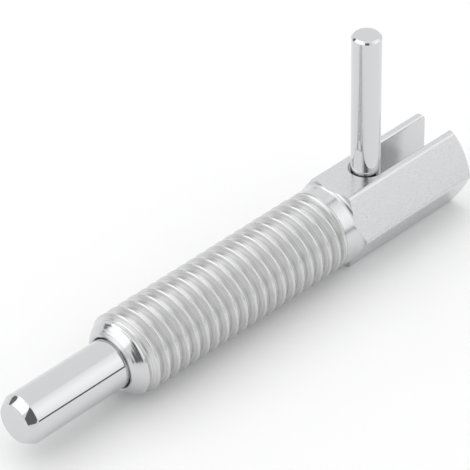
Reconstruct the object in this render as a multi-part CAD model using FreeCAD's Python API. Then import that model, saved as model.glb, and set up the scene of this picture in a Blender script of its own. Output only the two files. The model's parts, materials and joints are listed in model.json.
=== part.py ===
import FreeCAD, Part
import math
import os

# Indexing plunger with a pull handle that runs in an open slot, in millimetres.
# The origin is the centre of the body's front face. +X runs along the axis
# to the hexagon head, and +Z follows the handle.

Vector = FreeCAD.Vector
CENTRE = Vector(0, 0, 0)
ALONG = Vector(1, 0, 0)
UP = Vector(0, 0, 1)

# Body: sleeve that carries the thread, with a rolled nose
SLEEVE_DIAMETER = 10.0
SLEEVE_END_X = 31.6
NOSE_RING_DIAMETER = 6.9
NOSE_LEAD_LENGTH = 2.1
NOSE_LEAD_BULGE = 0.15
LIP_LENGTH = 1.2
LIP_ROUNDING = 0.3
NECK_DIAMETER = 9.9

# Body: hexagon head
HEAD_FRONT_X = 34.85
HEAD_LENGTH = 18.35
HEAD_ACROSS_FLATS = 10.0
HEAD_CORNER_ROUNDING = 0.5
HEAD_FACE_DIAMETER = 9.9
REAR_CHAMFER_ANGLE = 30.0
SHOULDER_FILLET = 0.8

# Body: spring chamber and slot
CHAMBER_DIAMETER = 6.8
CHAMBER_END_X = 34.0
CHAMBER_DRILL_ANGLE = 59.0
SLOT_WIDTH = 4.0
SLOT_EDGE_BREAK = 0.25

# Index pin
PIN_DIAMETER = 6.0
PIN_EXPOSED_LENGTH = 13.8
PIN_TIP_LENGTH = 1.05
PIN_TIP_DEPTH = 0.65
PIN_RELIEF_DEPTH = 0.2
GUIDE_LENGTH = 12.0
TAIL_DIAMETER = 3.8
TAIL_BEYOND_HANDLE = 2.4
TAIL_END_CHAMFER = 0.3

# Handle
HANDLE_X = 40.7
HANDLE_DIAMETER = 3.5
HANDLE_LENGTH = 21.75
HANDLE_TOP_CHAMFER = 0.3
HANDLE_SEAT_DEPTH = 0.45
SPIGOT_DIAMETER = 2.2
SPIGOT_SHORTFALL = 0.2

# Spring
SPRING_WIRE = 0.7
SPRING_TURNS = 8
SPRING_WIRE_SIDES = 6

# Clearances
RUNNING_FIT = 0.05
STOP_GAP = 0.05
SPRING_SIDE_GAP = 0.15
SPRING_END_GAP = 0.05
HANDLE_FRONT_GAP = 0.3
SEAT_SIDE_GAP = 0.1
FLOOR_GAP = 0.15

# How far a cutter runs past the face that it opens
OVERCUT = 1.0

# How far a quarter circle bows from its chord, as a share of its radius
QUARTER_BOW = 1 - math.sqrt(0.5)

LIP_BORE = PIN_DIAMETER + 2 * RUNNING_FIT
GUIDE_DIAMETER = CHAMBER_DIAMETER - 2 * RUNNING_FIT
TAIL_BORE = TAIL_DIAMETER + 2 * RUNNING_FIT
GUIDE_FRONT_X = LIP_LENGTH + STOP_GAP
GUIDE_REAR_X = GUIDE_FRONT_X + GUIDE_LENGTH
TAIL_END_X = HANDLE_X + TAIL_BEYOND_HANDLE
HEAD_REAR_X = HEAD_FRONT_X + HEAD_LENGTH
HEAD_TOP_Z = HEAD_ACROSS_FLATS / 2
HEAD_CORNER_RADIUS = HEAD_TOP_Z / math.cos(math.radians(30))
SHOULDER_START_X = HEAD_FRONT_X - SHOULDER_FILLET
SLOT_END_CENTRE_X = HANDLE_X - HANDLE_DIAMETER / 2 - HANDLE_FRONT_GAP + SLOT_WIDTH / 2
SLOT_FLOOR_Z = -TAIL_DIAMETER / 2 - FLOOR_GAP
HANDLE_SEAT_Z = TAIL_DIAMETER / 2 - HANDLE_SEAT_DEPTH
HANDLE_TOP_Z = HANDLE_SEAT_Z + HANDLE_LENGTH


def station(x, radius):
    """Point of a turned outline, at a distance along the axis and a radius."""
    return Vector(x, 0, radius)


def around(radius, turn):
    """Point of a section across the axis, at a radius and a turn from +Y in degrees."""
    angle = math.radians(turn)
    return Vector(0, radius * math.cos(angle), radius * math.sin(angle))


def run(*points):
    """Straight edges through the points of an outline."""
    return [Part.LineSegment(a, b).toShape() for a, b in zip(points, points[1:])]


def bow(start, end, rise):
    """Arc from one point to the next that rises outward from its chord."""
    chord = end - start
    outward = Vector(-chord.z, 0, chord.x).normalize()
    middle = (start + end) * 0.5 + outward * rise
    return [Part.Arc(start, middle, end).toShape()]


def turned(edges):
    """Revolve a closed outline about the axis."""
    return Part.Face(Part.Wire(edges)).revolve(CENTRE, ALONG, 360)


def upright(diameter, start_z, end_z):
    """Cylinder on the handle's axis between two heights."""
    return Part.makeCylinder(diameter / 2, end_z - start_z, Vector(HANDLE_X, 0, start_z), UP)


def sleeve():
    """Outside of the sleeve and neck, with the rounded nose that leads the thread in."""
    ring = station(0, NOSE_RING_DIAMETER / 2)
    crest = station(NOSE_LEAD_LENGTH, SLEEVE_DIAMETER / 2)
    rest = run(
        crest,
        station(SLEEVE_END_X, SLEEVE_DIAMETER / 2),
        station(SLEEVE_END_X, NECK_DIAMETER / 2),
        station(HEAD_FRONT_X, NECK_DIAMETER / 2),
        station(HEAD_FRONT_X, 0),
        station(0, 0),
        ring,
    )
    return turned(bow(ring, crest, NOSE_LEAD_BULGE) + rest)


def hexagon():
    """Section of the bar at the shoulder's start, with a flat on top and rounded corners."""
    centre_radius = (HEAD_TOP_Z - HEAD_CORNER_ROUNDING) / math.cos(math.radians(30))
    edges = []
    for step in range(6):
        middle = 60 * step
        centre = around(centre_radius, middle)
        arc = [centre + around(HEAD_CORNER_ROUNDING, middle + turn) for turn in (-30, 0, 30)]
        next_centre = around(centre_radius, middle + 60)
        next_start = next_centre + around(HEAD_CORNER_ROUNDING, middle + 30)
        edges.append(Part.Arc(*arc).toShape())
        edges += run(arc[2], next_start)
    return Part.Wire(edges).translated(ALONG * SHOULDER_START_X)


def head():
    """Hexagon bar, turned to a filleted shoulder in front and chamfered behind."""
    bar = Part.Face(hexagon()).extrude(ALONG * (HEAD_REAR_X - SHOULDER_START_X))
    neck = NECK_DIAMETER / 2
    face = HEAD_FACE_DIAMETER / 2
    outer = HEAD_CORNER_RADIUS + OVERCUT
    rear = (outer - face) * math.tan(math.radians(REAR_CHAMFER_ANGLE))
    foot = station(SHOULDER_START_X, neck)
    shoulder = station(HEAD_FRONT_X, neck + SHOULDER_FILLET)
    rest = run(
        shoulder,
        station(HEAD_FRONT_X, outer),
        station(HEAD_REAR_X - rear, outer),
        station(HEAD_REAR_X, face),
        station(HEAD_REAR_X, 0),
        station(SHOULDER_START_X, 0),
        foot,
    )
    return bar.common(turned(bow(foot, shoulder, -SHOULDER_FILLET * QUARTER_BOW) + rest))


def bores():
    """Lip bore with a rounded mouth, spring chamber with its drill point, and tail bore."""
    lip = LIP_BORE / 2
    chamber = CHAMBER_DIAMETER / 2
    tail = TAIL_BORE / 2
    drill_point = (chamber - tail) / math.tan(math.radians(CHAMBER_DRILL_ANGLE))
    mouth = station(0, lip + LIP_ROUNDING)
    throat = station(LIP_ROUNDING, lip)
    rest = run(
        throat,
        station(LIP_LENGTH, lip),
        station(LIP_LENGTH, chamber),
        station(CHAMBER_END_X, chamber),
        station(CHAMBER_END_X + drill_point, tail),
        station(SLOT_END_CENTRE_X, tail),
        station(SLOT_END_CENTRE_X, 0),
        station(-OVERCUT, 0),
        station(-OVERCUT, lip + LIP_ROUNDING),
        mouth,
    )
    return turned(bow(mouth, throat, -LIP_ROUNDING * QUARTER_BOW) + rest)


def slot_outline(half_width, z):
    """Outline of the slot at one height: a round front end and two sides that run out behind."""
    rear_x = HEAD_REAR_X + OVERCUT
    left = Vector(SLOT_END_CENTRE_X, half_width, z)
    right = Vector(SLOT_END_CENTRE_X, -half_width, z)
    nose = Vector(SLOT_END_CENTRE_X - half_width, 0, z)
    sides = run(right, Vector(rear_x, -half_width, z), Vector(rear_x, half_width, z), left)
    return Part.Wire([Part.Arc(left, nose, right).toShape()] + sides)


def slot():
    """Slot cutter, open above and behind, with a broken edge along the top flat."""
    half = SLOT_WIDTH / 2
    floor = slot_outline(half, SLOT_FLOOR_Z)
    deep = Part.Face(floor).extrude(UP * (HEAD_TOP_Z + OVERCUT - SLOT_FLOOR_Z))
    low = slot_outline(half, HEAD_TOP_Z - SLOT_EDGE_BREAK)
    high = slot_outline(half + SLOT_EDGE_BREAK + OVERCUT, HEAD_TOP_Z + OVERCUT)
    edge_break = Part.makeLoft([low, high], True, True)
    return deep.fuse(edge_break)


def body():
    """One turned and milled piece of hexagon bar."""
    return sleeve().fuse(head()).cut(bores()).cut(slot()).removeSplitter()


def index_pin():
    """Locking pin, relief, guide and tail in one turned piece, with the handle's seat and hole."""
    pin = PIN_DIAMETER / 2
    tail = TAIL_DIAMETER / 2
    tip_x = -PIN_EXPOSED_LENGTH
    blank = turned(run(
        station(tip_x, 0),
        station(tip_x, pin - PIN_TIP_DEPTH),
        station(tip_x + PIN_TIP_LENGTH, pin),
        station(0, pin),
        station(0, pin - PIN_RELIEF_DEPTH),
        station(GUIDE_FRONT_X, pin - PIN_RELIEF_DEPTH),
        station(GUIDE_FRONT_X, GUIDE_DIAMETER / 2),
        station(GUIDE_REAR_X, GUIDE_DIAMETER / 2),
        station(GUIDE_REAR_X, tail),
        station(TAIL_END_X - TAIL_END_CHAMFER, tail),
        station(TAIL_END_X, tail - TAIL_END_CHAMFER),
        station(TAIL_END_X, 0),
        station(tip_x, 0),
    ))
    seat = upright(HANDLE_DIAMETER + 2 * SEAT_SIDE_GAP, HANDLE_SEAT_Z, tail + OVERCUT)
    hole = upright(SPIGOT_DIAMETER, -tail - OVERCUT, HANDLE_SEAT_Z)
    return blank.cut(seat).cut(hole)


def handle_pin():
    """Straight pull handle with a broken top edge and a thinner spigot below."""
    radius = HANDLE_DIAMETER / 2
    grip = upright(HANDLE_DIAMETER, HANDLE_SEAT_Z, HANDLE_TOP_Z - HANDLE_TOP_CHAMFER)
    top = Part.makeCone(
        radius,
        radius - HANDLE_TOP_CHAMFER,
        HANDLE_TOP_CHAMFER,
        Vector(HANDLE_X, 0, HANDLE_TOP_Z - HANDLE_TOP_CHAMFER),
        UP,
    )
    spigot = upright(SPIGOT_DIAMETER, SPIGOT_SHORTFALL - TAIL_DIAMETER / 2, HANDLE_SEAT_Z)
    return grip.fuse(top).fuse(spigot)


def spring():
    """Compression spring round the tail, with both ends ground flat on their seats."""
    start_x = GUIDE_REAR_X + SPRING_END_GAP
    length = CHAMBER_END_X - SPRING_END_GAP - start_x
    outer = CHAMBER_DIAMETER / 2 - SPRING_SIDE_GAP
    mean = outer - SPRING_WIRE / 2
    pitch = length / SPRING_TURNS
    turn = Part.makeHelix(pitch, pitch, mean)
    path = [turn.translated(UP * pitch * step).Edges[0] for step in range(-1, SPRING_TURNS + 1)]
    section = []
    for side in range(SPRING_WIRE_SIDES):
        angle = math.radians(360 * (side + 0.5) / SPRING_WIRE_SIDES)
        across = mean + SPRING_WIRE / 2 * math.cos(angle)
        section.append(Vector(across, 0, SPRING_WIRE / 2 * math.sin(angle) - pitch))
    wire = Part.makePolygon(section + section[:1])
    coil = Part.Wire(path).makePipeShell([wire], True, True)
    ground = coil.common(Part.makeCylinder(outer + OVERCUT, length))
    return ground.rotated(CENTRE, Vector(0, 1, 0), 90).translated(ALONG * start_x)


PIECES = {
    "body": body,
    "index_pin": index_pin,
    "handle_pin": handle_pin,
    "spring": spring,
}


def main():
    os.makedirs("parts", exist_ok=True)
    for name, make in PIECES.items():
        shape = make()
        shape.exportStep("parts/" + name + ".step")
        print(name, "volume", round(shape.Volume, 2), "mm3")


main()
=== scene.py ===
# %% [markdown]
# An indexing plunger locks a moving part in place. Its pin stands out of a threaded steel body, a
# spring pushes it forward, and a straight handle draws it back along an open slot in the head.
# The sizes and the motion come from a imported model, the frame. This lesson only dresses it, so
# the first step loads the frame.

# %% Load the frame
import json
import math
from collections import Counter

import bmesh
import bpy
from mathutils import Matrix, Quaternion, Vector


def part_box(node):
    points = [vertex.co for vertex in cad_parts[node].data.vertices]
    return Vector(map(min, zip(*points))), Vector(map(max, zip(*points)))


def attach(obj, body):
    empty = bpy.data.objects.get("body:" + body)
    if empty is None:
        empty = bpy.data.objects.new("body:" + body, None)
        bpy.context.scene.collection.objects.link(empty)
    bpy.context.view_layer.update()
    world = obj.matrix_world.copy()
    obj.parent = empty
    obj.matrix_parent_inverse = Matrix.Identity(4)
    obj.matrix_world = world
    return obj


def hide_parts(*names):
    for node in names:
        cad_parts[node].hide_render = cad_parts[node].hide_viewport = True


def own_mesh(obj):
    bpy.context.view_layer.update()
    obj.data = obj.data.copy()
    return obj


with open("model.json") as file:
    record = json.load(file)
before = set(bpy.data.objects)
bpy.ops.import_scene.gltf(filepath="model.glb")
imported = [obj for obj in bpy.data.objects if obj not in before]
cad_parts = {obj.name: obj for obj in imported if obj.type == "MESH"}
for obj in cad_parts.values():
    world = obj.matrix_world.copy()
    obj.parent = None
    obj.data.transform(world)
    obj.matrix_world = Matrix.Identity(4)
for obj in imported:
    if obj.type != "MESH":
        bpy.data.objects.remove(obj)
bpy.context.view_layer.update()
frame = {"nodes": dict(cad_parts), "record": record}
print("frame nodes:", sorted(frame["nodes"]))

# %% [markdown]
# Drawings of small parts are in millimetres, and Blender works in metres, so one factor turns one
# into the other. The thread's and the pin's radius are read from the frame's record, and the
# handle's from its node, so each is written only once.

# %% Sizes that several pieces share
MM = 0.001
mounts = {mount["name"]: mount for mount in frame["record"]["mounts"]}
THREAD_RADIUS = mounts["body_thread"]["dims"]["r_mm"]
PIN_RADIUS = mounts["index_pin"]["dims"]["r_mm"]
body_low, body_high = [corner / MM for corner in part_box("body")]
handle_low, handle_high = [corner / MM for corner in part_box("handle_pin")]
HANDLE_X = (handle_low.x + handle_high.x) / 2
HANDLE_RADIUS = (handle_high.x - handle_low.x) / 2
print("thread radius", THREAD_RADIUS, "mm, pin radius", PIN_RADIUS, "mm, handle at x", round(HANDLE_X, 2))

# %% [markdown]
# The camera stands to the left of the nose and above it, and looks along the part with a long
# lens, which keeps the far head nearly as large as the near pin. Its place and the point that it
# looks at are real distances in the part's own frame. The picture leans by a degree and a half.

# %% Camera
CAMERA_PLACE = Vector((-153.3, -178.2, 196.6)) * MM
CAMERA_AIM = Vector((22.7, 3.4, 3.2)) * MM
CAMERA_LEAN = math.radians(-1.45)
FOCAL_LENGTH = 215.3
SENSOR_WIDTH = 36.0

camera_data = bpy.data.cameras.new("camera")
camera_data.lens = FOCAL_LENGTH
camera_data.sensor_width = SENSOR_WIDTH
camera = bpy.data.objects.new("camera", camera_data)
bpy.context.scene.collection.objects.link(camera)
level = (CAMERA_AIM - CAMERA_PLACE).to_track_quat("-Z", "Y")
camera.rotation_mode = "QUATERNION"
camera.rotation_quaternion = level @ Quaternion((0, 0, 1), CAMERA_LEAN)
camera.location = CAMERA_PLACE
bpy.context.scene.camera = camera
bpy.context.scene.view_settings.view_transform = "Standard"
print("camera distance", round((CAMERA_AIM - CAMERA_PLACE).length / MM), "mm")

# %% [markdown]
# A material is a small network of nodes. One helper adds a node, sets its values and links its
# inputs, which keeps each material readable as a list. Colours are written as sRGB hex values, as
# a colour picker shows them, and one function turns them into the linear light that Blender uses.

# %% Helpers for materials
def colour(hex_value):
    """Linear red, green, blue and alpha of an sRGB hex value."""
    parts = [int(hex_value[i:i + 2], 16) / 255 for i in (1, 3, 5)]
    linear = [part / 12.92 if part <= 0.04045 else ((part + 0.055) / 1.055) ** 2.4 for part in parts]
    return (*linear, 1.0)


def add(tree, kind, settings=None, links=None):
    """A new node, with its settings and the outputs that feed its inputs."""
    node = tree.nodes.new(kind)
    for name, value in (settings or {}).items():
        if isinstance(name, str) and hasattr(node, name) and name not in node.inputs:
            setattr(node, name, value)
        else:
            node.inputs[name].default_value = value
    for name, output in (links or {}).items():
        tree.links.new(output, node.inputs[name])
    return node


def new_material(name):
    """An empty material and its node tree."""
    made = bpy.data.materials.new(name)
    made.use_nodes = True
    made.node_tree.nodes.clear()
    return made, made.node_tree


print("linear value of a mid grey:", round(colour("#808080")[0], 3))

# %% [markdown]
# Bare metal shows little of itself and much of the room, so the room is made with care. It starts
# with a pale table under the part and an even pale wall all round, which is Blender's world. The
# wall alone would give the metal no form, but it keeps the shadow soft and the ground white.

# %% Table and wall
FLOOR_SIZE = 20.0
FLOOR_Z = body_low.z * MM
WALL_STRENGTH = 0.96
TABLE_GLOW = 0.06


def pale_table():
    """Matt white opal table top, lit a little from below, which keeps the shadow pale."""
    made, tree = new_material("opal table top")
    shader = add(tree, "ShaderNodeBsdfPrincipled", {
        "Base Color": colour("#eeeeee"),
        "Roughness": 0.6,
        "Emission Color": colour("#ffffff"),
        "Emission Strength": TABLE_GLOW,
    })
    add(tree, "ShaderNodeOutputMaterial", links={"Surface": shader.outputs["BSDF"]})
    return made


def stage_grid(name, place, material):
    """A flat square, put in place by a matrix, that isn't part of the object."""
    shape = bmesh.new()
    bmesh.ops.create_grid(shape, x_segments=1, y_segments=1, size=0.5, matrix=place)
    mesh = bpy.data.meshes.new(name)
    shape.to_mesh(mesh)
    shape.free()
    mesh.materials.append(material)
    made = bpy.data.objects.new(name, mesh)
    bpy.context.scene.collection.objects.link(made)
    return made


stage_grid("table", Matrix.Translation((0, 0, FLOOR_Z)) @ Matrix.Scale(FLOOR_SIZE, 4), pale_table())
world = bpy.data.worlds.new("pale wall")
world.use_nodes = True
world.node_tree.nodes["Background"].inputs["Color"].default_value = colour("#ffffff")
world.node_tree.nodes["Background"].inputs["Strength"].default_value = WALL_STRENGTH
bpy.context.scene.world = world
print("table at", FLOOR_Z / MM, "mm")

# %% [markdown]
# The panels give the metal its form. Softboxes stand at both sides, behind and above. A grey shade
# dims the wall at the left, and dark flags stand behind the camera, behind the part and at the
# table's edge, where a real studio is dark too. The panels light the part and show in its
# reflections, but the camera doesn't see them. Each is placed by the directions that it spans from
# the part, so a band that is seen on the metal leads straight to its panel.

# %% Softboxes and flags
PANEL_DISTANCE = 0.8
PANEL_CENTRE = Vector((20, 0, 0)) * MM


def cloth(name, centre, reach, strength, edge_strength):
    """Lit cloth that is brightest in its middle."""
    made, tree = new_material(name)
    place = add(tree, "ShaderNodeTexCoord")
    away = add(
        tree,
        "ShaderNodeVectorMath",
        {"operation": "DISTANCE", 1: centre},
        {0: place.outputs["Object"]},
    )
    fade = add(
        tree,
        "ShaderNodeMapRange",
        {"From Max": reach, "To Min": strength, "To Max": edge_strength},
        {"Value": away.outputs["Value"]},
    )
    light = add(tree, "ShaderNodeEmission", links={"Strength": fade.outputs["Result"]})
    add(tree, "ShaderNodeOutputMaterial", links={"Surface": light.outputs["Emission"]})
    return made


def panel(name, azimuths, elevations, strength, edge_strength):
    """A panel that faces the part and spans a range of directions, seen only in reflections."""
    azimuth = math.radians(sum(azimuths) / 2)
    elevation = math.radians(sum(elevations) / 2)
    flat = math.cos(elevation)
    outward = Vector((math.cos(azimuth) * flat, math.sin(azimuth) * flat, math.sin(elevation)))
    width = 2 * PANEL_DISTANCE * flat * math.tan(math.radians(azimuths[1] - azimuths[0]) / 2)
    height = 2 * PANEL_DISTANCE * math.tan(math.radians(elevations[1] - elevations[0]) / 2)
    centre = PANEL_CENTRE + outward * PANEL_DISTANCE
    turn = (-outward).to_track_quat("Z", "Y").to_matrix().to_4x4()
    place = Matrix.Translation(centre) @ turn @ Matrix.Diagonal((width, height, 1, 1))
    lit = cloth(name + " cloth", centre, max(width, height) / 2, strength, edge_strength)
    stage_grid(name, place, lit).visible_camera = False


# The spans round and up are in degrees. The two strengths are those of the middle and the edge.
panel("right_softbox", (-78, -18), (5, 62), 1.36, 1.1)
panel("left_softbox", (113, 200), (30, 68), 1.5, 1.45)
panel("back_softbox", (50, 113), (38, 72), 1.85, 1.8)
panel("top_softbox", (-40, 80), (70, 92), 1.6, 1.55)
panel("left_wall_shade", (113, 205), (-2, 22), 0.66, 0.66)
panel("camera_flag", (-147, -116), (-1, 60), 0.16, 0.16)
panel("back_flag", (99, 116), (15, 38), 0.2, 0.2)
panel("table_edge_flag", (-78, -42), (0, 5.5), 0.1, 0.1)
print("panels at", PANEL_DISTANCE, "m")

# %% [markdown]
# The real part is free-cutting steel with bright zinc plate. Zinc returns about two thirds of the
# light, slightly blue. Each face keeps the marks of how it was made under the plate, and those
# marks are what tells one from the other: the pin and handle are ground and nearly mirrors. Real
# marks are finer than the picture's pixels, so here and below they are drawn as coarse as they
# need to be to show. Their depth is given in millimetres too. Blender's noise stays mostly between
# 0.3 and 0.7, so that span is stretched over the range of roughness that a finish has.

# %% Metal finishes
ZINC = "#d5d6d7"
NOISE_LOW = 0.3
NOISE_HIGH = 0.7
GRIND_MARKS = (0.6, 0.25, 0.25)
GROUND_ROUGHNESS = (0.04, 0.07)


def metal(tree, roughness, marks=None, depth=0.0, hue=colour(ZINC)):
    """Metal with a roughness and hue that are constants or outputs, and marks of some depth."""
    settings = {"Metallic": 1.0}
    links = {}
    for name, value in (("Base Color", hue), ("Roughness", roughness)):
        kept = links if isinstance(value, bpy.types.NodeSocket) else settings
        kept[name] = value
    if marks is not None:
        relief = add(tree, "ShaderNodeBump", {"Strength": 1.0, "Distance": depth * MM}, {"Height": marks})
        links["Normal"] = relief.outputs["Normal"]
    shader = add(tree, "ShaderNodeBsdfPrincipled", settings, links)
    add(tree, "ShaderNodeOutputMaterial", links={"Surface": shader.outputs["BSDF"]})


def millimetres(tree, size):
    """Object coordinates divided by a feature's size in millimetres."""
    place = add(tree, "ShaderNodeTexCoord")
    scale = [1 / (MM * length) for length in size]
    return add(tree, "ShaderNodeMapping", {"Scale": scale}, {"Vector": place.outputs["Object"]})


def ground_steel():
    """Plated, centreless-ground rod: nearly a mirror, with faint streaks in its gloss."""
    made, tree = new_material("zinc plate on ground steel")
    grain = add(
        tree,
        "ShaderNodeTexNoise",
        {"Scale": 1.0, "Detail": 3.0},
        {"Vector": millimetres(tree, GRIND_MARKS).outputs["Vector"]},
    )
    smooth, dull = GROUND_ROUGHNESS
    rough = add(
        tree,
        "ShaderNodeMapRange",
        {"From Min": NOISE_LOW, "From Max": NOISE_HIGH, "To Min": smooth, "To Max": dull},
        {"Value": grain.outputs["Fac"]},
    )
    metal(tree, rough.outputs["Result"])
    return made


ground_finish = ground_steel()
print("finish:", ground_finish.name)

# %% [markdown]
# Turned and round pieces start from half of their outline. Spinning that chain of points round
# the axis gives the skin, and a bevel softens each rim, because a real edge always catches some
# light. The helper takes the outline as points along and away from the axis, in millimetres.

# %% Helpers for turned pieces
ROUND_STEPS = 96
MERGE_DISTANCE = 1e-4
RIM_ANGLE = math.radians(25)
RIM_SEGMENTS = 3


def finish_piece(name, shape, materials, body, node, weighted=True):
    """Make the object of a finished mesh, hang it on its body and hide the node that it replaces."""
    mesh = bpy.data.meshes.new(name)
    shape.to_mesh(mesh)
    shape.free()
    for material in materials:
        mesh.materials.append(material)
    piece = bpy.data.objects.new(name, mesh)
    bpy.context.scene.collection.objects.link(piece)
    if weighted:
        steady = piece.modifiers.new("steady normals", "WEIGHTED_NORMAL")
        steady.keep_sharp = True
    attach(piece, body)
    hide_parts(node)
    print(name, "has", len(mesh.polygons), "faces")
    return piece


def spin_outline(outline, steps=ROUND_STEPS):
    """Skin of a turned piece from its outline along the X axis."""
    shape = bmesh.new()
    chain = [shape.verts.new(Vector((x, 0, radius)) * MM) for x, radius in outline]
    edges = [shape.edges.new(pair) for pair in zip(chain, chain[1:])]
    bmesh.ops.spin(
        shape,
        geom=chain + edges,
        cent=(0, 0, 0),
        axis=(1, 0, 0),
        angle=math.tau,
        steps=steps,
        use_merge=True,
        use_duplicate=False,
    )
    bmesh.ops.remove_doubles(shape, verts=shape.verts, dist=MERGE_DISTANCE * MM)
    bmesh.ops.recalc_face_normals(shape, faces=shape.faces)
    return shape


def soften(shape, width):
    """Round every edge that bends more than the rim angle, and shade the result smooth."""
    sharp = [edge for edge in shape.edges if edge.is_manifold and edge.calc_face_angle() > RIM_ANGLE]
    bmesh.ops.bevel(
        shape,
        geom=sharp,
        affect="EDGES",
        offset=width * MM,
        offset_type="OFFSET",
        segments=RIM_SEGMENTS,
        profile=0.5,
        material=-1,
        clamp_overlap=True,
    )
    for face in shape.faces:
        face.smooth = True


print("turned pieces have", ROUND_STEPS, "steps round")

# %% [markdown]
# The locking pin, its guide and the thin tail are turned as one piece. The guide has a larger
# diameter and stays inside the body, where a lip stops it. A shallow relief in front of the guide
# starts just inside the lip. The outline has every step of it. The tail's flat-bottomed seat and
# its hole for the handle are drilled across, so they are cut with Blender's exact boolean.

# %% Cutting one shape with another
OVERCUT = 1.0


def boolean(shape, tool, operation):
    """Cut or join two closed shapes, and return the result as a new shape."""
    objects = []
    for part in (shape, tool):
        mesh = bpy.data.meshes.new("boolean part")
        part.to_mesh(mesh)
        part.free()
        held = bpy.data.objects.new("boolean part", mesh)
        bpy.context.scene.collection.objects.link(held)
        objects.append(held)
    modifier = objects[0].modifiers.new("boolean", "BOOLEAN")
    modifier.object = objects[1]
    modifier.operation = operation
    modifier.solver = "EXACT"
    seen = objects[0].evaluated_get(bpy.context.evaluated_depsgraph_get())
    result = bmesh.new()
    result.from_mesh(seen.to_mesh())
    bmesh.ops.remove_doubles(result, verts=result.verts, dist=MERGE_DISTANCE * MM)
    for held in objects:
        bpy.data.meshes.remove(held.data)
    return result


def upright(radius, low, high):
    """Closed cylinder on the handle's axis."""
    shape = bmesh.new()
    place = Matrix.Translation(Vector((HANDLE_X, 0, (low + high) / 2)) * MM)
    bmesh.ops.create_cone(
        shape,
        cap_ends=True,
        segments=ROUND_STEPS,
        radius1=radius * MM,
        radius2=radius * MM,
        depth=(high - low) * MM,
        matrix=place,
    )
    return shape


print("cutters reach", OVERCUT, "mm past what they cut")

# %% Index pin
pin_low, pin_high = [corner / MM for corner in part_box("index_pin")]
PIN_STEPS = 128
TIP_LENGTH = 1.05
TIP_DEPTH = 0.65
RELIEF_START_X = 0.4
RELIEF_DEPTH = 0.2
GUIDE_FRONT_X = 1.25
GUIDE_RADIUS = pin_high.z
GUIDE_REAR_X = 13.25
TAIL_RADIUS = 1.9
HANDLE_SEAT_Z = 1.45
SPIGOT_RADIUS = 1.1
SEAT_SIDE_GAP = 0.1
RIM_WIDTH = 0.06

pin_outline = [
    (pin_low.x, 0),
    (pin_low.x, PIN_RADIUS - TIP_DEPTH),
    (pin_low.x + TIP_LENGTH, PIN_RADIUS),
    (RELIEF_START_X, PIN_RADIUS),
    (RELIEF_START_X, PIN_RADIUS - RELIEF_DEPTH),
    (GUIDE_FRONT_X, PIN_RADIUS - RELIEF_DEPTH),
    (GUIDE_FRONT_X, GUIDE_RADIUS),
    (GUIDE_REAR_X, GUIDE_RADIUS),
    (GUIDE_REAR_X, TAIL_RADIUS),
    (pin_high.x, TAIL_RADIUS),
    (pin_high.x, 0),
]
pin_shape = spin_outline(pin_outline, steps=PIN_STEPS)
soften(pin_shape, RIM_WIDTH)
seat = upright(HANDLE_RADIUS + SEAT_SIDE_GAP, HANDLE_SEAT_Z, TAIL_RADIUS + OVERCUT)
hole = upright(SPIGOT_RADIUS, -TAIL_RADIUS - OVERCUT, HANDLE_SEAT_Z + OVERCUT)
for cutter in (seat, hole):
    pin_shape = boolean(pin_shape, cutter, "DIFFERENCE")
finish_piece("locking_pin", pin_shape, [ground_finish], "plunger", "index_pin")

# %% [markdown]
# The handle is a straight ground rod that stands on the tail's seat. Only its two ends differ: the
# top rim is broken by a chamfer, and a thinner spigot below is pressed into the tail.

# %% Handle
HANDLE_CHAMFER = 0.3
SPIGOT_END_Z = handle_low.z


def handle_rod():
    """Rod along X, turned upright."""
    shape = spin_outline([
        (SPIGOT_END_Z, 0),
        (SPIGOT_END_Z, SPIGOT_RADIUS),
        (HANDLE_SEAT_Z, SPIGOT_RADIUS),
        (HANDLE_SEAT_Z, HANDLE_RADIUS),
        (handle_high.z - HANDLE_CHAMFER, HANDLE_RADIUS),
        (handle_high.z, HANDLE_RADIUS - HANDLE_CHAMFER),
        (handle_high.z, 0),
    ])
    soften(shape, RIM_WIDTH / 2)
    stand = Matrix.Translation((HANDLE_X * MM, 0, 0)) @ Matrix.Rotation(-math.pi / 2, 4, "Y")
    bmesh.ops.transform(shape, matrix=stand, verts=shape.verts)
    return shape


finish_piece("pull_handle", handle_rod(), [ground_finish], "plunger", "handle_pin")

# %% [markdown]
# The thread is one groove wound along the sleeve. A metric thread's groove is 60 degrees wide, its
# crest is an eighth of the pitch, and its root is rounded by 0.144 of the pitch. The outline of one
# pitch is worked out from that, and its points lie closest where it bends.

# %% Outline of one pitch
PITCH = 1.5
FLANK_SLOPE = math.tan(math.radians(60))
CREST_WIDTH = PITCH / 8
CREST_ROUNDING = 0.02
ROOT_RADIUS = 0.144 * PITCH
ROOT_TANGENT = ROOT_RADIUS * math.cos(math.radians(30))
FLANK_SHARES = (0.25, 0.5, 0.75, 1)
ROOT_ANGLES = (40, 20)


def groove_depth(x):
    """Depth of the thread's groove at a distance along the sleeve from a crest."""
    from_root = abs(x / PITCH % 1 - 0.5) * PITCH
    half_mouth = (PITCH - CREST_WIDTH) / 2
    if from_root > ROOT_TANGENT:
        return max(half_mouth - from_root, 0) * FLANK_SLOPE
    return half_mouth * FLANK_SLOPE - 2 * ROOT_RADIUS + math.sqrt(ROOT_RADIUS ** 2 - from_root ** 2)


def pitch_rows():
    """Places of the mesh's rows in one pitch, measured from a crest."""
    crest = CREST_WIDTH / 2
    flank = PITCH / 2 - ROOT_TANGENT - crest
    half = [crest - CREST_ROUNDING, crest + CREST_ROUNDING]
    half += [crest + flank * share for share in FLANK_SHARES]
    half += [PITCH / 2 - ROOT_RADIUS * math.sin(math.radians(angle)) for angle in ROOT_ANGLES]
    return half + [PITCH / 2] + [PITCH - place for place in reversed(half)]


print("groove depth", round(groove_depth(PITCH / 2), 3), "mm, rows in a pitch:", len(pitch_rows()))

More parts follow.
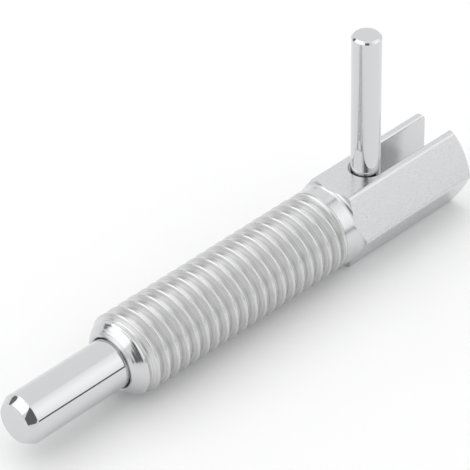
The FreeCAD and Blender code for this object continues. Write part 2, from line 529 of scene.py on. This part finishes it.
# %% [markdown]
# The outline is repeated along the whole sleeve and then spun one full turn while it moves one
# pitch forward, so that its last copy meets the first one. The rows of the mesh then follow the
# thread, which a straight grid would cut across. The ends are cut square, and a second step lets
# the groove rise out of the rounded nose and run out again before the neck. A narrower stub
# behind reaches into the neck, where the two are joined later.

# %% Threaded sleeve
CREST_PHASE = 0.88
NOSE_RING_RADIUS = 3.45
NOSE_LENGTH = 2.1
NOSE_BULGE = 0.15
THREAD_START_X = 0.9
THREAD_FULL_X = 2.7
THREAD_FADE_X = 31.8
THREAD_END_X = 32.5
NECK_START_X = 32.55
NECK_RADIUS = 4.95
RUNOUT_RADIUS = 4.9
SLEEVE_CUT_X = NECK_START_X + 0.1
STUB_RADIUS = 4.5
STUB_END_X = 33.5
PITCHES_BEFORE = 3
PITCHES_BEHIND = 2
WOUND_MERGE_DISTANCE = 1e-3


def ease(x, start, end):
    """Smooth step from 0 to 1 between two places."""
    share = min(max((x - start) / (end - start), 0), 1)
    return share * share * (3 - 2 * share)


def nose_radius(x):
    """Radius of the rounded nose, an arc that bulges outward from its chord."""
    front = Vector((0, NOSE_RING_RADIUS))
    rear = Vector((NOSE_LENGTH, THREAD_RADIUS))
    chord = rear - front
    radius = (chord.length_squared / 4 + NOSE_BULGE ** 2) / (2 * NOSE_BULGE)
    inward = Vector((chord.y, -chord.x)).normalized()
    centre = (front + rear) / 2 + inward * (radius - NOSE_BULGE)
    return centre.y + math.sqrt(radius ** 2 - (x - centre.x) ** 2)


def sleeve_radius(x, cut_radius):
    """Radius of the sleeve where a plain cut of the thread would leave a given one."""
    cut = (THREAD_RADIUS - cut_radius) * ease(x, THREAD_START_X, THREAD_FULL_X)
    radius = min(THREAD_RADIUS, nose_radius(min(x, NOSE_LENGTH))) - cut
    return radius + (RUNOUT_RADIUS - radius) * ease(x, THREAD_FADE_X, THREAD_END_X)


def threaded_sleeve():
    """Closed skin of the sleeve and its nose, with a stub that reaches into the neck."""
    shape = bmesh.new()
    pitches = range(-PITCHES_BEFORE, round(THREAD_END_X / PITCH) + PITCHES_BEHIND)
    places = [pitch * PITCH + place for pitch in pitches for place in pitch_rows()]
    chain = [
        shape.verts.new(Vector((place + CREST_PHASE, 0, THREAD_RADIUS - groove_depth(place))) * MM)
        for place in places
    ]
    edges = [shape.edges.new(pair) for pair in zip(chain, chain[1:])]
    bmesh.ops.spin(
        shape,
        geom=chain + edges,
        cent=(0, 0, 0),
        axis=(1, 0, 0),
        dvec=(PITCH / ROUND_STEPS * MM, 0, 0),
        angle=math.tau,
        steps=ROUND_STEPS,
        use_merge=False,
        use_duplicate=False,
    )
    bmesh.ops.remove_doubles(shape, verts=shape.verts, dist=WOUND_MERGE_DISTANCE * MM)
    for place, keep_behind in ((0, True), (SLEEVE_CUT_X, False)):
        bmesh.ops.bisect_plane(
            shape,
            geom=shape.verts[:] + shape.edges[:] + shape.faces[:],
            plane_co=(place * MM, 0, 0),
            plane_no=(1, 0, 0),
            clear_inner=keep_behind,
            clear_outer=not keep_behind,
        )
    for vertex in shape.verts:
        cut_radius = math.hypot(vertex.co.y, vertex.co.z) / MM
        share = sleeve_radius(vertex.co.x / MM, cut_radius) / cut_radius
        vertex.co.y *= share
        vertex.co.z *= share
    rim = [edge for edge in shape.edges if edge.is_boundary and edge.verts[0].co.x > NOSE_LENGTH * MM]
    for x in (SLEEVE_CUT_X, STUB_END_X):
        grown = bmesh.ops.extrude_edge_only(shape, edges=rim)["geom"]
        rim = [item for item in grown if isinstance(item, bmesh.types.BMEdge)]
        for vertex in {vertex for edge in rim for vertex in edge.verts}:
            share = STUB_RADIUS * MM / math.hypot(vertex.co.y, vertex.co.z)
            vertex.co = (x * MM, vertex.co.y * share, vertex.co.z * share)
    bmesh.ops.holes_fill(shape, edges=[edge for edge in shape.edges if edge.is_boundary], sides=0)
    bmesh.ops.recalc_face_normals(shape, faces=shape.faces)
    return shape


sleeve_shape = threaded_sleeve()
print("sleeve has", len(sleeve_shape.faces), "faces")

# %% [markdown]
# The head is a length of hexagon bar with slightly rounded corners. Turning its ends leaves the
# curved lines where the fillet and the chamfer run out on the flats, so it is made the same way
# here: the bar is kept only where a turned shape overlaps it.

# %% Hexagon head
HEAD_FRONT_X = 34.85
HEAD_REAR_X = body_high.x
ACROSS_FLATS = -2 * body_low.z
CORNER_ROUNDING = 0.5
SHOULDER_FILLET = 0.8
HEAD_FACE_RADIUS = 4.95
REAR_CHAMFER = math.tan(math.radians(30))
FILLET_STEPS = 12
ARC_STEPS = 6


def arc(centre_x, centre_radius, radius, start, end, steps=ARC_STEPS):
    """Points of a round stretch of an outline, between two angles in degrees."""
    angles = [math.radians(start + (end - start) * step / steps) for step in range(steps + 1)]
    return [(centre_x + radius * math.cos(a), centre_radius + radius * math.sin(a)) for a in angles]


def hexagon_bar():
    """Hexagon bar with one flat on top, along X, longer than the head at both ends."""
    shape = bmesh.new()
    radius = ACROSS_FLATS / 2 / math.cos(math.radians(30))
    low = NECK_START_X - OVERCUT
    high = HEAD_REAR_X + OVERCUT
    place = Matrix.Translation(Vector(((low + high) / 2, 0, 0)) * MM)
    bmesh.ops.create_cone(
        shape,
        cap_ends=True,
        segments=6,
        radius1=radius * MM,
        radius2=radius * MM,
        depth=(high - low) * MM,
        matrix=place @ Matrix.Rotation(math.pi / 2, 4, "Y"),
    )
    corners = [edge for edge in shape.edges if abs(edge.verts[0].co.x - edge.verts[1].co.x) > MM]
    bmesh.ops.bevel(
        shape,
        geom=corners,
        affect="EDGES",
        offset=CORNER_ROUNDING * math.tan(math.radians(30)) * MM,
        offset_type="OFFSET",
        segments=ARC_STEPS,
        profile=0.5,
        material=-1,
    )
    return shape


def turned_envelope():
    """Shape that turning leaves: the neck, a fillet up to the shoulder and a chamfer behind."""
    outer = ACROSS_FLATS / 2 + OVERCUT
    rear = (outer - HEAD_FACE_RADIUS) * REAR_CHAMFER
    fillet_x = HEAD_FRONT_X - SHOULDER_FILLET
    return spin_outline([
        (NECK_START_X, 0),
        (NECK_START_X, NECK_RADIUS),
        *arc(fillet_x, NECK_RADIUS + SHOULDER_FILLET, SHOULDER_FILLET, -90, 0, FILLET_STEPS),
        (HEAD_FRONT_X, outer),
        (HEAD_REAR_X - rear, outer),
        (HEAD_REAR_X, HEAD_FACE_RADIUS),
        (HEAD_REAR_X, 0),
    ])


head_shape = boolean(hexagon_bar(), turned_envelope(), "INTERSECT")
print("turned head has", len(head_shape.faces), "faces")

# %% [markdown]
# The slot is open behind and ends in front in a half circle round the handle. Its cutter is half a
# turned shape, drawn out to the rear. The cutter's outline flares at the top, which rounds the
# slot's edge in the same cut.

# %% Slot
SLOT_WIDTH = 4.0
SLOT_FRONT_GAP = 0.12
SLOT_FLOOR_Z = -2.05
SLOT_EDGE_ROUNDING = 0.4


def slot_cutter():
    """Cutter with a round front end that leaves a rounded edge at the head's top."""
    half = SLOT_WIDTH / 2
    top_z = ACROSS_FLATS / 2
    wide = half + SLOT_EDGE_ROUNDING
    centre_x = HANDLE_X - HANDLE_RADIUS - SLOT_FRONT_GAP + half
    edge = arc(wide, top_z - SLOT_EDGE_ROUNDING, SLOT_EDGE_ROUNDING, 180, 90)
    outline = [(0, SLOT_FLOOR_Z), (half, SLOT_FLOOR_Z), *edge, (wide, top_z + OVERCUT), (0, top_z + OVERCUT)]
    shape = bmesh.new()
    chain = [shape.verts.new(Vector((centre_x, -out, z)) * MM) for out, z in outline]
    edges = [shape.edges.new(pair) for pair in zip(chain, chain[1:])]
    bmesh.ops.spin(
        shape,
        geom=chain + edges,
        cent=(centre_x * MM, 0, 0),
        axis=(0, 0, -1),
        angle=math.pi,
        steps=ROUND_STEPS // 2,
        use_merge=False,
        use_duplicate=False,
    )
    bmesh.ops.remove_doubles(shape, verts=shape.verts, dist=MERGE_DISTANCE * MM)
    mouth = [edge for edge in shape.edges if edge.is_boundary]
    grown = bmesh.ops.extrude_edge_only(shape, edges=mouth)["geom"]
    for vertex in [item for item in grown if isinstance(item, bmesh.types.BMVert)]:
        vertex.co.x = (HEAD_REAR_X + OVERCUT) * MM
    bmesh.ops.holes_fill(shape, edges=[edge for edge in shape.edges if edge.is_boundary], sides=0)
    bmesh.ops.recalc_face_normals(shape, faces=shape.faces)
    return shape


head_shape = boolean(head_shape, slot_cutter(), "DIFFERENCE")
print("slotted head has", len(head_shape.faces), "faces")

# %% [markdown]
# Inside, the body has a lip in front, a long chamber for the guide and spring, and a small bore
# for the tail. The sleeve and head are joined first, and one turned cutter then makes all three.
# Edges that really are edges are marked last, so that shading stays smooth only across curves.

# %% Joined and bored body
RUNNING_GAP = 0.05
LIP_BORE_RADIUS = PIN_RADIUS + RUNNING_GAP
LIP_LENGTH = 1.2
LIP_ROUNDING = 0.3
CHAMBER_RADIUS = GUIDE_RADIUS + RUNNING_GAP
CHAMBER_END_X = 34.0
DRILL_POINT = math.tan(math.radians(59))
TAIL_BORE_RADIUS = TAIL_RADIUS + RUNNING_GAP
SHARP_ANGLE = math.radians(18)
NOSE_FACE_END_X = 0.05


def bore_cutter():
    """Turned cutter for the lip, the chamber and the tail's bore."""
    mouth = arc(LIP_ROUNDING, LIP_BORE_RADIUS + LIP_ROUNDING, LIP_ROUNDING, 180, 270)
    drill_length = (CHAMBER_RADIUS - TAIL_BORE_RADIUS) / DRILL_POINT
    return spin_outline([
        (-OVERCUT, 0),
        (-OVERCUT, LIP_BORE_RADIUS + LIP_ROUNDING),
        *mouth,
        (LIP_LENGTH, LIP_BORE_RADIUS),
        (LIP_LENGTH, CHAMBER_RADIUS),
        (CHAMBER_END_X, CHAMBER_RADIUS),
        (CHAMBER_END_X + drill_length, TAIL_BORE_RADIUS),
        (HANDLE_X, TAIL_BORE_RADIUS),
        (HANDLE_X, 0),
    ])


def mark_edges(shape):
    """Keep shading smooth across curves and along the thread, and break it at real edges."""
    for face in shape.faces:
        face.smooth = True
    for edge in shape.edges:
        x = sum(vertex.co.x for vertex in edge.verts) / 2 / MM
        out = sum(math.hypot(vertex.co.y, vertex.co.z) for vertex in edge.verts) / 2 / MM
        threaded = NOSE_FACE_END_X < x < THREAD_END_X and out > NOSE_RING_RADIUS
        edge.smooth = threaded or edge.calc_face_angle(math.pi) < SHARP_ANGLE


body_shape = boolean(sleeve_shape, head_shape, "UNION")
body_shape = boolean(body_shape, bore_cutter(), "DIFFERENCE")
mark_edges(body_shape)
print("body has", len(body_shape.faces), "faces")

# %% [markdown]
# The body is one piece, but its surface was made in several ways. The nose was rolled in over the
# pin, which polished it, while the neck and the ends were only turned. Both show the fine rings of
# the turning tool, so their pattern changes along the axis and outward, and is even all round.

# %% Turned finishes
RING_SPACING = 0.3
RING_DEPTH = 0.012
NOSE_ROUGHNESS = 0.14
NECK_ROUGHNESS = 0.22


def rings(tree, spacing):
    """Noise that changes along the axis and outward, but is even all the way round."""
    place = millimetres(tree, (spacing,) * 3).outputs["Vector"]
    across = add(tree, "ShaderNodeVectorMath", {"operation": "MULTIPLY", 1: (0, 1, 1)}, {0: place})
    out = add(tree, "ShaderNodeVectorMath", {"operation": "LENGTH"}, {0: across.outputs["Vector"]})
    along = add(tree, "ShaderNodeSeparateXYZ", links={0: place})
    ring = add(tree, "ShaderNodeMath", {"operation": "ADD"}, {0: along.outputs["X"], 1: out.outputs["Value"]})
    noise = add(
        tree,
        "ShaderNodeTexNoise",
        {"noise_dimensions": "1D", "Scale": 1.0, "Detail": 2.0},
        {"W": ring.outputs["Value"]},
    )
    return noise.outputs["Fac"]


def turned_steel(name, roughness):
    """Plated, turned steel with faint rings left by the tool's feed."""
    made, tree = new_material(name)
    metal(tree, roughness, rings(tree, RING_SPACING), RING_DEPTH)
    return made


rolled_nose = turned_steel("zinc plate on rolled nose", NOSE_ROUGHNESS)
turned_neck = turned_steel("zinc plate on turned steel", NECK_ROUGHNESS)
print("finishes:", rolled_nose.name, "and", turned_neck.name)

# %% [markdown]
# The thread was cut by a tool that went along the groove, and so do its lines. The place across
# the groove is the distance along the axis plus the share of a turn, in pitches, and only the
# fraction of that counts. The lines are in the relief, and their light and shade is also painted
# into the colour as darker and lighter lines, because relief this fine hardly shows on satin metal.

# %% Finish of the thread
CUT_LINES = 20.0
CUT_DEPTH = 0.02
LINE_SPAN = (0.35, 0.65)
# Greys of the painted shade and painted light along the cut lines.
LINE_PAINTED_SHADE = "#c8c8c8"
LINE_PAINTED_LIGHT = "#e7e7e7"
THREAD_ROUGHNESS = 0.28


def cut_thread():
    """Plated thread: satin, with lines that the cutting edge left along the groove, and their painted light
    and shade in its colour.
    """
    made, tree = new_material("zinc plate on cut thread")
    place = add(tree, "ShaderNodeSeparateXYZ", links={0: millimetres(tree, (PITCH,) * 3).outputs["Vector"]})
    turn = add(
        tree,
        "ShaderNodeMath",
        {"operation": "ARCTAN2"},
        {0: place.outputs["Y"], 1: place.outputs["Z"]},
    )
    turns = add(tree, "ShaderNodeMath", {"operation": "DIVIDE", 1: math.tau}, {0: turn.outputs["Value"]})
    wound = add(
        tree,
        "ShaderNodeMath",
        {"operation": "ADD"},
        {0: place.outputs["X"], 1: turns.outputs["Value"]},
    )
    within = add(tree, "ShaderNodeMath", {"operation": "FRACT"}, {0: wound.outputs["Value"]})
    lines = add(
        tree,
        "ShaderNodeTexNoise",
        {"noise_dimensions": "1D", "Scale": CUT_LINES, "Detail": 3.0},
        {"W": within.outputs["Value"]},
    )
    low, high = LINE_SPAN
    # Painted shade and light of the cut lines: the colour runs from darker to lighter grey along them.
    dark = colour(LINE_PAINTED_SHADE)[0]
    bright = colour(LINE_PAINTED_LIGHT)[0]
    shade = add(
        tree,
        "ShaderNodeMapRange",
        {"From Min": low, "From Max": high, "To Min": dark, "To Max": bright},
        {"Value": lines.outputs["Fac"]},
    )
    metal(tree, THREAD_ROUGHNESS, lines.outputs["Fac"], CUT_DEPTH, hue=shade.outputs["Result"])
    return made


threaded_steel = cut_thread()
print("finish:", threaded_steel.name)

# %% [markdown]
# The flats are the drawn bar as it came, with the satin and the long grain of the die. The slot
# was milled, and its cutter's teeth left short marks across it.

# %% Finishes of the flats and the slot
BAR_GRAIN = (0.5, 0.22, 0.22)
BAR_GRAIN_DEPTH = 0.003
BAR_ROUGHNESS = (0.21, 0.29)
TEETH_MARKS = (0.25, 2.0, 1.5)
TEETH_DEPTH = 0.006
SLOT_ROUGHNESS = 0.2


def drawn_bar():
    """Plated, drawn hexagon bar: satin with a fine grain along its length."""
    made, tree = new_material("zinc plate on drawn bar")
    grain = add(
        tree,
        "ShaderNodeTexNoise",
        {"Scale": 1.0, "Detail": 4.0, "Roughness": 0.6},
        {"Vector": millimetres(tree, BAR_GRAIN).outputs["Vector"]},
    )
    smooth, dull = BAR_ROUGHNESS
    rough = add(
        tree,
        "ShaderNodeMapRange",
        {"From Min": NOISE_LOW, "From Max": NOISE_HIGH, "To Min": smooth, "To Max": dull},
        {"Value": grain.outputs["Fac"]},
    )
    metal(tree, rough.outputs["Result"], grain.outputs["Fac"], BAR_GRAIN_DEPTH)
    return made


def milled_slot():
    """Plated, milled slot: a fine satin from the cutter's teeth."""
    made, tree = new_material("zinc plate on milled steel")
    teeth = add(
        tree,
        "ShaderNodeTexNoise",
        {"Scale": 1.0, "Detail": 2.0},
        {"Vector": millimetres(tree, TEETH_MARKS).outputs["Vector"]},
    )
    metal(tree, SLOT_ROUGHNESS, teeth.outputs["Fac"], TEETH_DEPTH)
    return made


body_finishes = [rolled_nose, turned_neck, threaded_steel, drawn_bar(), milled_slot()]
print("finishes:", body_finishes[3].name, "and", body_finishes[4].name)

# %% [markdown]
# Every face of the body gets its finish by its place. The thread's crests are what is left of the
# turned bar, so they get the turned finish, and their thin bright lines come from that. A flat's
# normal has no part along the axis, which tells it from the turned ends. A margin of a thousandth
# of a millimetre keeps a face that lies right at a limit on its proper side.

# %% Dress the body
NOSE, TURNED, THREAD, FLATS, SLOT = range(len(body_finishes))
NOSE_FINISH_END_X = 1.5
NEARLY = 0.001
FLAT_TILT = 0.02


def face_finish(face):
    """Which of the body's finishes a face has."""
    centre = face.calc_center_median() / MM
    out = math.hypot(centre.y, centre.z)
    if centre.x < NECK_START_X:
        if centre.x < NOSE_FINISH_END_X or out < NOSE_RING_RADIUS:
            return NOSE
        return TURNED if out > THREAD_RADIUS - CREST_ROUNDING * 2 else THREAD
    between_walls = abs(centre.y) < SLOT_WIDTH / 2 + SLOT_EDGE_ROUNDING
    below_top = SLOT_FLOOR_Z - NEARLY < centre.z < ACROSS_FLATS / 2 - NEARLY
    if between_walls and below_top and HEAD_FRONT_X < centre.x < HEAD_REAR_X - NEARLY:
        return SLOT
    return TURNED if centre.x < HEAD_FRONT_X or abs(face.normal.x) > FLAT_TILT else FLATS


for face in body_shape.faces:
    face.material_index = face_finish(face)
body = finish_piece("threaded_body", body_shape, body_finishes, "body", "body")
finish_counts = Counter(polygon.material_index for polygon in body.data.polygons)
print("faces by finish:", sorted(finish_counts.items()))

# %% [markdown]
# The spring is hidden in the chamber. Its wire is a small circle spun round the axis while it moves
# along. The end turns lie close together, as on a spring with closed ends, and the turns between
# share the rest of the length. The wire is darker than the plated pieces, because it was only drawn
# and oiled.

# %% Spring
spring_low, spring_high = [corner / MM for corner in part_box("spring")]
WIRE_RADIUS = 0.35
WIRE_STEPS = 12
WIRE_COLOUR = "#a9abad"
STREAK_WIDTH = 0.08
STREAK_DEPTH = 0.004
WIRE_ROUGHNESS = (0.24, 0.38)
END_TURNS = 1.25
END_COIL_GAP = 0.03
OPEN_TURNS = 5.5
SPRING_STEPS = 32


def coil():
    """Round wire, wound with closed ends."""
    shape = bmesh.new()
    mean = spring_high.z - WIRE_RADIUS
    turn = Matrix.Rotation(math.pi / 2, 4, "X")
    centre = Vector((spring_low.x + WIRE_RADIUS, 0, mean)) * MM
    place = Matrix.Translation(centre) @ turn
    bmesh.ops.create_circle(shape, segments=WIRE_STEPS, radius=WIRE_RADIUS * MM, matrix=place)
    ring = shape.verts[:] + shape.edges[:]
    length = spring_high.x - spring_low.x - 2 * WIRE_RADIUS
    closed = (2 * WIRE_RADIUS + END_COIL_GAP) * END_TURNS
    for turns, advance in ((END_TURNS, closed), (OPEN_TURNS, length - 2 * closed), (END_TURNS, closed)):
        steps = round(turns * SPRING_STEPS)
        ring = bmesh.ops.spin(
            shape,
            geom=ring,
            cent=(0, 0, 0),
            axis=(1, 0, 0),
            dvec=(advance / steps * MM, 0, 0),
            angle=turns * math.tau,
            steps=steps,
            use_merge=False,
            use_duplicate=False,
        )["geom_last"]
    bmesh.ops.remove_doubles(shape, verts=shape.verts, dist=WOUND_MERGE_DISTANCE * MM)
    bmesh.ops.holes_fill(shape, edges=[edge for edge in shape.edges if edge.is_boundary], sides=0)
    bmesh.ops.recalc_face_normals(shape, faces=shape.faces)
    for face in shape.faces:
        face.smooth = True
    return shape


def drawn_wire():
    """Oiled spring wire, with fine streaks from the drawing die that run round with the coil."""
    made, tree = new_material("oiled spring wire")
    streaks = rings(tree, STREAK_WIDTH)
    smooth, dull = WIRE_ROUGHNESS
    rough = add(
        tree,
        "ShaderNodeMapRange",
        {"From Min": NOISE_LOW, "From Max": NOISE_HIGH, "To Min": smooth, "To Max": dull},
        {"Value": streaks},
    )
    metal(tree, rough.outputs["Result"], streaks, STREAK_DEPTH, hue=colour(WIRE_COLOUR))
    return made


wire = [drawn_wire()]
spring = finish_piece("return_spring", coil(), wire, "body", "spring", weighted=False)
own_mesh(spring)
